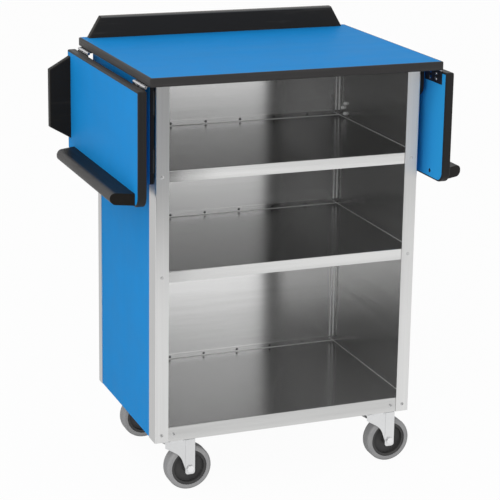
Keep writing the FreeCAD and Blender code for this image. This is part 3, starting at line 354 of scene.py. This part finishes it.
def platedSteel(name, look):
    mat, tree, shader = startFinish(name, look)
    spangle = tree.nodes.new("ShaderNodeTexVoronoi")
    spangle.inputs["Scale"].default_value = look["spangle"]
    tree.links.new(objectCoords(tree), spangle.inputs["Vector"])
    cloud = noise(tree, objectCoords(tree), look["cloud"], detail=4.0)
    varyRough(tree, shader, cloud, look)
    patch = calc(tree, "ADD", calc(tree, "MULTIPLY", spangle.outputs["Distance"], spangleShare), cloud)
    tone = varyTone(tree, remap(tree, patch, whole, patchSpan), look)
    if look.get("darkBelow"):        # the lowest fixings on a leaf are blackened
        low = calc(tree, "LESS_THAN", placeOf(tree)["Z"], look["darkBelow"])
        tone = mixTones(tree, low, tone, look["darkTone"])
    if look.get("bareTone"):        # the plates are dark, a painted reflection, and the barrel is bare metal
        place = placeOf(tree)
        outside = calc(tree, "GREATER_THAN", calc(tree, "ABSOLUTE", place["X"]), look["bareBeyond"])
        bare = calc(tree, "MULTIPLY", outside, calc(tree, "GREATER_THAN", place["Z"], look["bareAbove"]))
        tone = mixTones(tree, bare, tone, look["bareTone"])
        tree.links.new(bare, shader.inputs["Metallic"])
    tree.links.new(tone, shader.inputs["Base Color"])
    addBump(tree, shader, cloud, look)
    return mat


paleFixing = platedSteel("pale fixing", paleLook)
zincPlate = platedSteel("zinc plate", zincLook)
dress(platedSteel("bright fixing", fixingLook), "hinge_pins", "worktop_screws")
dress(platedSteel("post fixing", screwLook), "post_screws")
dress(platedSteel("domed nut", nutLook), "wing_hinge_bolts")
dress(platedSteel("rivet steel", rivetLook), "shelf_rivets")
dress(platedSteel("leaf fixing", leafFixingLook), "left_leaf_screws", "right_leaf_screws")
dress(platedSteel("hinge black", hingeLook), "left_wing_hinges", "right_wing_hinges")
dress(platedSteel("leaf hinge dark reflection", leafHingeReflectionLook), "left_leaf_hinge_plates", "right_leaf_hinge_plates",
      "hinge_fixed_plates")
dress(zincPlate, "left_caster_channel", "right_caster_channel", "caster_plates", "caster_kingpins",
      "caster_bolts")
print("fixings plated")


# Wheels, with faint turning rings round each axle

hubLook = {"tone": (0.036, 0.036, 0.037), "dusty": (0.052, 0.051, 0.050), "rough": (0.42, 0.58),
           "specular": 0.25, "ringPitch": 0.004, "ringDepth": 0.25, "grit": 1400.0, "dust": 45.0,
           "bump": 0.08, "relief": 0.0003}
tyreLook = {"tone": (0.235, 0.235, 0.24), "dusty": (0.27, 0.268, 0.265), "rough": (0.55, 0.7),
            "specular": 0.2, "ringPitch": 0.0035, "ringDepth": 0.2, "grit": 1100.0, "dust": 38.0,
            "bump": 0.08, "relief": 0.0003}
dustSpan = (0.35, 0.75)


def wheelRings(name, look, centre):
    mat, tree, shader = startFinish(name, look)
    place = axesOf(tree, objectCoords(tree, centre=centre))
    squares = [calc(tree, "POWER", place[axis], 2.0) for axis in ("X", "Z")]
    radius = calc(tree, "POWER", calc(tree, "ADD", *squares), 0.5)
    ring = calc(tree, "SINE", calc(tree, "MULTIPLY", radius, 2 * math.pi / look["ringPitch"]))
    grit = noise(tree, objectCoords(tree), look["grit"], detail=3.0)
    dust = noise(tree, objectCoords(tree), look["dust"], detail=4.0, rough=0.6)
    varyRough(tree, shader, dust, look)
    tone = mixTones(tree, remap(tree, dust, whole, dustSpan), look["tone"], look["dusty"])
    tree.links.new(tone, shader.inputs["Base Color"])
    height = calc(tree, "ADD", calc(tree, "MULTIPLY", ring, look["ringDepth"]), grit)
    addBump(tree, shader, height, look)
    return mat


for corner in ("front_left", "front_right", "rear_left", "rear_right"):
    low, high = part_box(corner + "_tyre")
    centre = (low + high) / 2
    dress(zincPlate, corner + "_fork")
    dress(paleFixing, corner + "_axle")
    dress(wheelRings(corner + " hub plastic", hubLook, centre), corner + "_hub")
    dress(wheelRings(corner + " tyre rubber", tyreLook, centre), corner + "_tyre")
print("finishes set")


# Node tree helpers

def startTree(name, sizes):
    tree = bpy.data.node_groups.new(name, "GeometryNodeTree")
    face = tree.interface
    face.new_socket("Geometry", in_out="INPUT", socket_type="NodeSocketGeometry")
    for label, kind in sizes.items():
        face.new_socket(label, in_out="INPUT", socket_type=kind)
    face.new_socket("Geometry", in_out="OUTPUT", socket_type="NodeSocketGeometry")
    return tree, tree.nodes.new("NodeGroupInput").outputs


def endTree(tree, geometry, finish):
    add, link = tree.nodes.new, tree.links.new
    solid = add("GeometryNodeRealizeInstances")
    link(geometry, solid.inputs["Geometry"])
    paint = add("GeometryNodeSetMaterial")
    paint.inputs["Material"].default_value = finish
    link(solid.outputs["Geometry"], paint.inputs["Geometry"])
    link(paint.outputs["Geometry"], add("NodeGroupOutput").inputs["Geometry"])
    return tree


def bakeNodes(name, points, edges, attributes, tree, sizes):
    mesh = bpy.data.meshes.new(name)
    mesh.from_pydata(points, edges, [])
    for label, values in attributes.items():
        layer = mesh.attributes.new(label, "FLOAT_VECTOR", "POINT")
        layer.data.foreach_set("vector", [c for value in values for c in value])
    piece = bpy.data.objects.new(name, mesh)
    scene.collection.objects.link(piece)
    modifier = piece.modifiers.new("nodes", "NODES")
    modifier.node_group = tree
    for item in tree.interface.items_tree:
        if item.in_out == "INPUT" and item.name in sizes:
            modifier[item.identifier] = sizes[item.name]
    ready = piece.evaluated_get(bpy.context.evaluated_depsgraph_get())
    made = bpy.data.meshes.new_from_object(ready)
    piece.modifiers.remove(modifier)
    piece.data = made
    made.name = name
    return piece


# Dark crosses on the domed screw heads, painted shade standing in for the cross recesses

crossLook = {"arm": 0.0036, "width": 0.0008, "depth": 0.0006, "proud": 0.00008, "leastRise": 0.001, "seed": 7}
recessShadeLook = {**guardLook, "tone": (0.10, 0.10, 0.10), "rubbed": (0.14, 0.14, 0.14)}
crossedScrews = {"cabinet": ["post_screws", "worktop_screws"], "left_leaf": ["left_leaf_screws"],
                 "right_leaf": ["right_leaf_screws"]}
weldGap = 1e-6        # joins the loose triangles in a copy of a node


def islandsOf(mesh):        # the points of each separate screw
    seen = set()
    for first in mesh.verts:
        if first in seen:
            continue
        island = []
        queue = [first]
        seen.add(first)
        while queue:
            vert = queue.pop()
            island.append(vert.co.copy())
            for edge in vert.link_edges:
                other = edge.other_vert(vert)
                if other not in seen:
                    seen.add(other)
                    queue.append(other)
        yield island


def headOf(points):        # the peak of a screw's head and the way it looks
    low = Vector([min(p[i] for p in points) for i in range(3)])
    high = Vector([max(p[i] for p in points) for i in range(3)])
    size = high - low
    middle = (high + low) / 2
    spread = [abs(size[(i + 1) % 3] - size[(i + 2) % 3]) for i in range(3)]
    axis = spread.index(min(spread))        # the two sizes across a screw are equal
    u, v = (i for i in range(3) if i != axis)
    brim = max(points, key=lambda p: (p[u] - middle[u]) ** 2 + (p[v] - middle[v]) ** 2)[axis]
    towards = 1.0 if high[axis] - brim < brim - low[axis] else -1.0
    peak = middle.copy()
    peak[axis] = high[axis] if towards > 0 else low[axis]
    out = Vector((0, 0, 0))
    out[axis] = towards
    domed = abs(peak[axis] - brim) > crossLook["leastRise"]        # the flush heads are plain
    return (peak, out) if domed else None


def screwHeads(nodeName):
    mesh = bmesh.new()
    mesh.from_mesh(nodes[nodeName].data)
    bmesh.ops.remove_doubles(mesh, verts=mesh.verts, dist=weldGap)
    found = [headOf(points) for points in islandsOf(mesh)]
    mesh.free()
    return [head for head in found if head]


def crossTree(finish):
    tree, source = startTree("screw crosses", {"Arm": "NodeSocketFloat", "Width": "NodeSocketFloat",
                                               "Depth": "NodeSocketFloat", "Seed": "NodeSocketInt"})
    add, link = tree.nodes.new, tree.links.new
    join = add("GeometryNodeJoinGeometry")
    for long, short in (("X", "Y"), ("Y", "X")):
        size = add("ShaderNodeCombineXYZ")
        link(source["Arm"], size.inputs[long])
        link(source["Width"], size.inputs[short])
        link(source["Depth"], size.inputs["Z"])
        bar = add("GeometryNodeMeshCube")
        link(size.outputs["Vector"], bar.inputs["Size"])
        link(bar.outputs["Mesh"], join.inputs["Geometry"])
    headAxis = add("GeometryNodeInputNamedAttribute")
    headAxis.data_type = "FLOAT_VECTOR"
    headAxis.inputs["Name"].default_value = "headAxis"
    align = add("FunctionNodeAlignRotationToVector")
    align.axis = "Z"
    link(next(s for s in headAxis.outputs if s.type == "VECTOR"), align.inputs["Vector"])
    turn = add("FunctionNodeRandomValue")        # each screw stopped at its own angle
    turn.data_type = "FLOAT"
    next(s for s in turn.inputs if s.name == "Max" and s.type == "VALUE").default_value = math.pi / 2
    link(source["Seed"], turn.inputs["Seed"])
    spin = add("FunctionNodeAxisAngleToRotation")
    link(next(s for s in turn.outputs if s.type == "VALUE"), spin.inputs["Angle"])
    rotate = add("FunctionNodeRotateRotation")
    rotate.rotation_space = "LOCAL"
    link(align.outputs["Rotation"], rotate.inputs["Rotation"])
    link(spin.outputs["Rotation"], rotate.inputs["Rotate By"])
    place = add("GeometryNodeInstanceOnPoints")
    link(source["Geometry"], place.inputs["Points"])
    link(join.outputs["Geometry"], place.inputs["Instance"])
    link(rotate.outputs["Rotation"], place.inputs["Rotation"])
    return endTree(tree, place.outputs["Instances"], finish)


crossNodes = crossTree(darkPlastic("recess shade", recessShadeLook))
crossSizes = {"Arm": crossLook["arm"], "Width": crossLook["width"], "Depth": crossLook["depth"],
              "Seed": crossLook["seed"]}
for body, sources in crossedScrews.items():
    heads = [head for source in sources for head in screwHeads(source)]
    sunk = [peak - out * (crossLook["depth"] / 2 - crossLook["proud"]) for peak, out in heads]
    outward = {"headAxis": [out for peak, out in heads]}
    crosses = bakeNodes(body + "_screw_crosses", sunk, [], outward, crossNodes, crossSizes)
    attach(crosses, body)
    print("screw crosses on", body + ":", len(heads))


# Rolled edges inside the cabinet: up both sides of each rear corner, along the sides and rear of each deck

beadLook = {"cornerRadius": 0.0014, "deckRadius": 0.0005, "sides": 10, "sunk": 0.0004, "lip": 0.012,
            "hem": 0.0085, "frontGap": 0.004}
# The pale finish of the rolled edges is a painted highlight along the bends
beadHighlightLook = {**paleLook, "tone": (0.85, 0.85, 0.85), "metal": 0.5, "bump": 0.0}


def beadTree(finish):
    tree, source = startTree("rolled edges", {"Radius": "NodeSocketFloat", "Sides": "NodeSocketInt"})
    add, link = tree.nodes.new, tree.links.new
    path = add("GeometryNodeMeshToCurve")
    link(source["Geometry"], path.inputs["Mesh"])
    profile = add("GeometryNodeCurvePrimitiveCircle")
    link(source["Sides"], profile.inputs["Resolution"])
    link(source["Radius"], profile.inputs["Radius"])
    sweep = add("GeometryNodeCurveToMesh")
    sweep.inputs["Fill Caps"].default_value = True
    link(path.outputs["Curve"], sweep.inputs["Curve"])
    link(profile.outputs["Curve"], sweep.inputs["Profile Curve"])
    return endTree(tree, sweep.outputs["Mesh"], finish)


wallLow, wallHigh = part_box("back_wall")
cornerX = wallHigh.x - beadLook["sunk"]
hemX = wallHigh.x - beadLook["hem"]
ceilings = {"bottom_shelf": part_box("middle_shelf")[0].z, "middle_shelf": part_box("top_shelf")[0].z,
            "top_shelf": wallHigh.z}
cornerLines = []        # each two points are the ends of one edge
deckLines = []
for shelf, ceiling in ceilings.items():
    low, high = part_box(shelf)
    deck = high.z - beadLook["lip"] + beadLook["sunk"]
    for side in (-1, 1):
        for x in (cornerX, hemX):
            cornerLines += [(x * side, wallLow.y, high.z), (x * side, wallLow.y, ceiling)]
        deckLines += [(cornerX * side, low.y + beadLook["frontGap"], deck), (cornerX * side, wallLow.y, deck)]
    deckLines += [(-cornerX, wallLow.y, deck), (cornerX, wallLow.y, deck)]
beadNodes = beadTree(platedSteel("rolled edge highlight steel", beadHighlightLook))
for name, line in (("corner", cornerLines), ("deck", deckLines)):
    pairs = [(i, i + 1) for i in range(0, len(line), 2)]
    beads = bakeNodes("cabinet_" + name + "_edges", line, pairs, {}, beadNodes,
                      {"Radius": beadLook[name + "Radius"], "Sides": beadLook["sides"]})
    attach(beads, "cabinet")
    print("rolled", name, "edges:", len(pairs))


# Studio: white surroundings, a pale floor, two soft lamps and cards for the steel to reflect

studio = {"floorReach": 7.0, "floorTone": (0.60, 0.60, 0.60), "floorRough": 0.8, "floorSpecular": 0.1,
          "floorWhite": 0.96, "worldLevel": 0.81}
lamps = {"soft_lamp": {"power": 42.0, "size": 2.4, "place": (-2.2, -2.6, 3.4), "aim": (0.0, 0.0, 0.5),
                       "glossy": True},
         "fill_lamp": {"power": 65.0, "size": 1.0, "place": (-1.7, -3.0, 1.4), "aim": (0.2, 0.0, 0.7),
                       "glossy": False}}
# Only reflections see the cards, which stand for the dark and light parts of a room in front of the cart
cards = {"dark_card": {"tone": (0.04, 0.04, 0.04), "x": (-3.0, 0.45), "z": (0.0, 3.0)},
         "low_card": {"tone": (0.20, 0.20, 0.20), "x": (0.45, 0.53), "z": (0.28, 0.85)},
         "strip_card": {"tone": (0.85, 0.85, 0.85), "x": (-0.72, -0.61), "z": (0.6, 1.3), "ahead": 0.01},
         "grey_card": {"tone": (0.93, 0.93, 0.93), "x": (0.45, 3.0), "z": (0.85, 3.0)}}
cardFront = -2.2
cardRough = 0.9


def seenWhite(tree):
    path = tree.nodes.new("ShaderNodeLightPath")
    seen = calc(tree, "MAXIMUM", path.outputs["Is Camera Ray"], path.outputs["Is Glossy Ray"])
    return calc(tree, "MAXIMUM", seen, path.outputs["Is Transmission Ray"])


def flatSheet(name, points, finish):
    mesh = bpy.data.meshes.new(name)
    mesh.from_pydata(points, [], [(0, 1, 2, 3)])
    mesh.materials.append(finish)
    sheet = bpy.data.objects.new(name, mesh)
    scene.collection.objects.link(sheet)
    return sheet


world = bpy.data.worlds.new("studio")
world.use_nodes = True
scene.world = world
surround = world.node_tree.nodes["Background"]
surround.inputs["Color"].default_value = (1.0, 1.0, 1.0, 1.0)
level = remap(world.node_tree, seenWhite(world.node_tree), (studio["worldLevel"], 1.0), whole)
world.node_tree.links.new(level, surround.inputs["Strength"])

floorFinish, floorTree, floorShader = startMaterial("studio floor", studio["floorTone"], studio["floorRough"],
                                                    specular=studio["floorSpecular"])
glow = floorTree.nodes.new("ShaderNodeEmission")
blend = floorTree.nodes.new("ShaderNodeMixShader")
floorTree.links.new(calc(floorTree, "MULTIPLY", seenWhite(floorTree), studio["floorWhite"]), blend.inputs[0])
floorTree.links.new(floorShader.outputs["BSDF"], blend.inputs[1])
floorTree.links.new(glow.outputs["Emission"], blend.inputs[2])
floorTree.links.new(blend.outputs["Shader"], floorTree.nodes["Material Output"].inputs["Surface"])
reach = studio["floorReach"]
floorCorners = [(-reach, -reach, 0), (reach, -reach, 0), (reach, reach, 0), (-reach, reach, 0)]
floor = flatSheet("studio_floor", floorCorners, floorFinish)

for name, look in lamps.items():
    lampData = bpy.data.lights.new(name, "AREA")
    lampData.shape = "DISK"
    lampData.size = look["size"]
    lampData.energy = look["power"]
    lamp = bpy.data.objects.new(name, lampData)
    scene.collection.objects.link(lamp)
    lamp.location = look["place"]
    aim = Vector(look["aim"]) - lamp.location
    lamp.rotation_euler = aim.to_track_quat("-Z", "Y").to_euler()
    lamp.visible_glossy = look["glossy"]

for name, look in cards.items():
    left, right = look["x"]
    bottom, top = look["z"]
    y = cardFront + look.get("ahead", 0.0)
    cardFinish = startMaterial(name.replace("_", " "), look["tone"], cardRough, specular=0.0)[0]
    cardCorners = [(left, y, bottom), (right, y, bottom), (right, y, top), (left, y, top)]
    card = flatSheet(name, cardCorners, cardFinish)
    card.visible_camera = False
    card.visible_diffuse = False
    card.visible_shadow = False
    card.visible_transmission = False
print("studio set")


# Camera at the photograph's viewing angle

shot = {"place": (-1.43657, -3.59845, 1.6169), "yaw": -21.64, "pitch": -14.48, "roll": -0.89, "lens": 129.16,
        "sensor": 36.0, "shift": -0.12, "reach": 100.0}


def turned(angle, axis):
    return Matrix.Rotation(math.radians(shot[angle]), 3, axis)


camData = bpy.data.cameras.new("camera")
camData.lens = shot["lens"]
camData.sensor_width = shot["sensor"]
camData.shift_y = shot["shift"]
camData.clip_end = shot["reach"]
cam = bpy.data.objects.new("camera", camData)
scene.collection.objects.link(cam)
aimed = turned("yaw", "Z") @ turned("pitch", "X") @ turned("roll", "Y")        # its Y is the line of sight
axes = Matrix((aimed.col[0], aimed.col[2], -aimed.col[1])).transposed()        # a camera looks along its -Z
cam.matrix_world = Matrix.Translation(shot["place"]) @ axes.to_4x4()
scene.camera = cam
scene.view_settings.view_transform = "Standard"
print("camera set")
